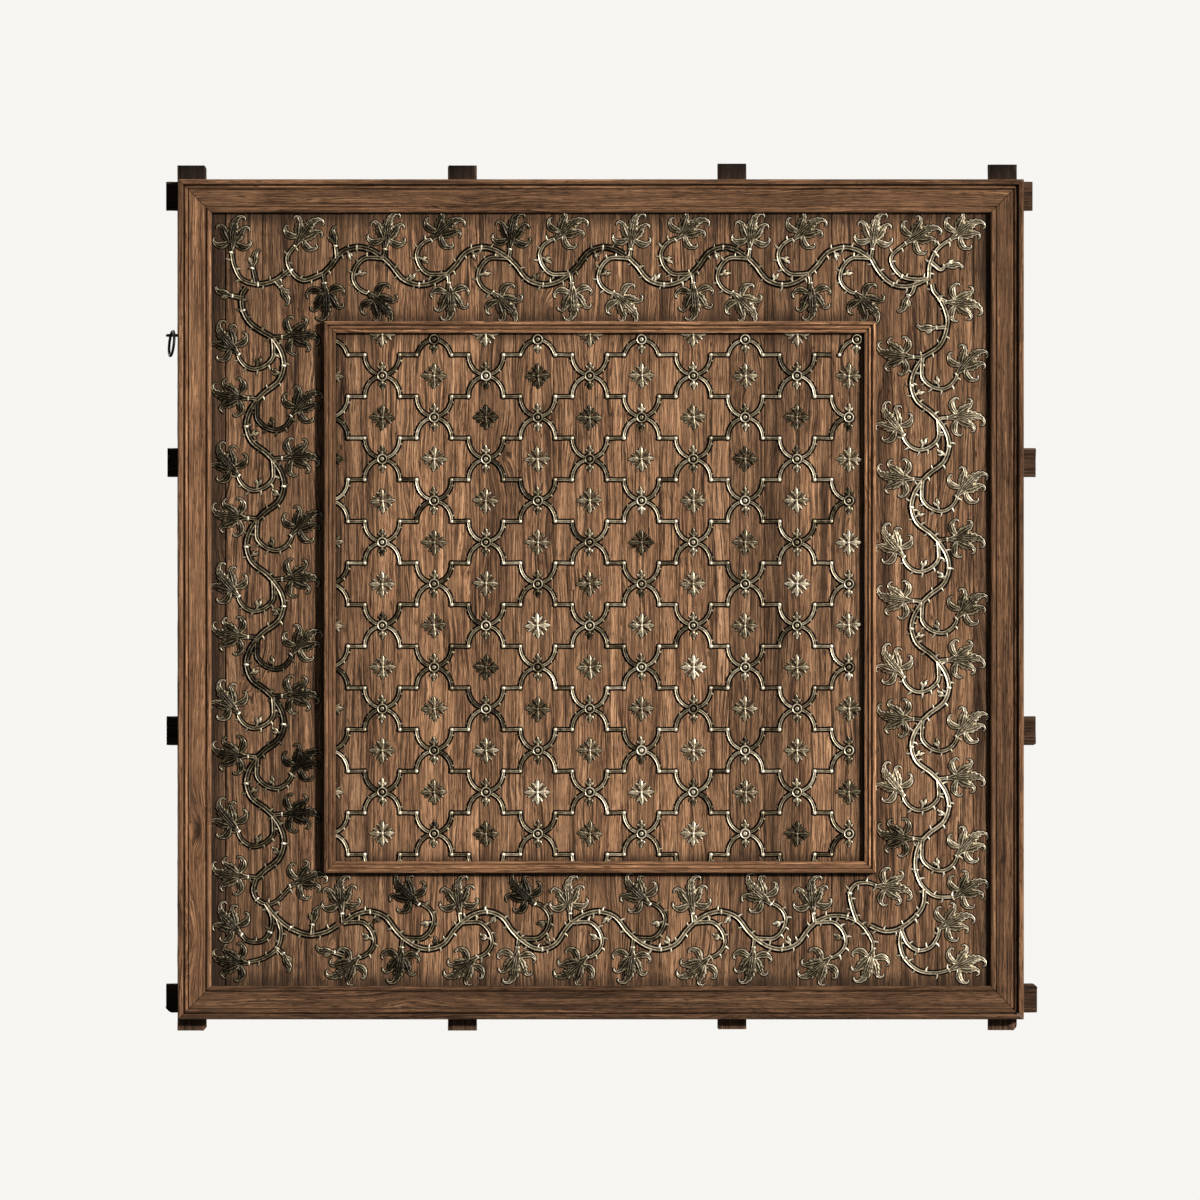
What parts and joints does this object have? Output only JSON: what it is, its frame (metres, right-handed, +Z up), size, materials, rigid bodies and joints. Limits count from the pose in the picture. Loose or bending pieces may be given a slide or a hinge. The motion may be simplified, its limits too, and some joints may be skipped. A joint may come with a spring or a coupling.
{
  "type": "brass-mounted coffered wooden panel",
  "caption": "Square boarded panel in a moulded frame, with a brass vine scroll border round a brass trellis field, on projecting battens, for a ceiling or wall.",
  "frame": {"origin": "on the back face of the upper-middle horizontal batten, at the panel's vertical middle line", "axes": "+X to the right seen from the front, +Z up, +Y into the wall: the face looks along -Y"},
  "size_m": [1.965, 0.0923, 1.956],
  "materials": {
    "batten_wood": "rough sawn, dark and weathered",
    "frame_wood": "worn, waxed, open grain",
    "board_wood": "worn, waxed, open grain",
    "old_brass": "dark in the hollows, rubbed bright on the ridges",
    "black_iron": "black, forged"
  },
  "bodies": {
    "root": {"batten_level_1": "batten_wood", "batten_level_2": "batten_wood", "batten_level_3": "batten_wood", "batten_level_4": "batten_wood", "batten_upright_1": "batten_wood", "batten_upright_2": "batten_wood", "batten_upright_3": "batten_wood", "batten_upright_4": "batten_wood", "board_01": "board_wood", "board_02": "board_wood", "board_03": "board_wood", "board_04": "board_wood", "board_05": "board_wood", "board_06": "board_wood", "board_07": "board_wood", "board_08": "board_wood", "board_09": "board_wood", "board_10": "board_wood", "board_11": "board_wood", "board_12": "board_wood", "board_13": "board_wood", "board_14": "board_wood", "board_15": "board_wood", "board_16": "board_wood", "board_17": "board_wood", "board_18": "board_wood", "board_19": "board_wood", "board_20": "board_wood", "board_21": "board_wood", "board_22": "board_wood", "board_23": "board_wood", "moulding_bottom": "frame_wood", "moulding_left": "frame_wood", "moulding_right": "frame_wood", "moulding_top": "frame_wood", "rail_bottom": "frame_wood", "rail_left": "frame_wood", "rail_right": "frame_wood", "rail_top": "frame_wood", "ring": "black_iron", "staple": "black_iron", "trellis": "old_brass", "vine_bottom": "old_brass", "vine_left": "old_brass", "vine_right": "old_brass", "vine_top": "old_brass"}
  },
  "joints": []
}
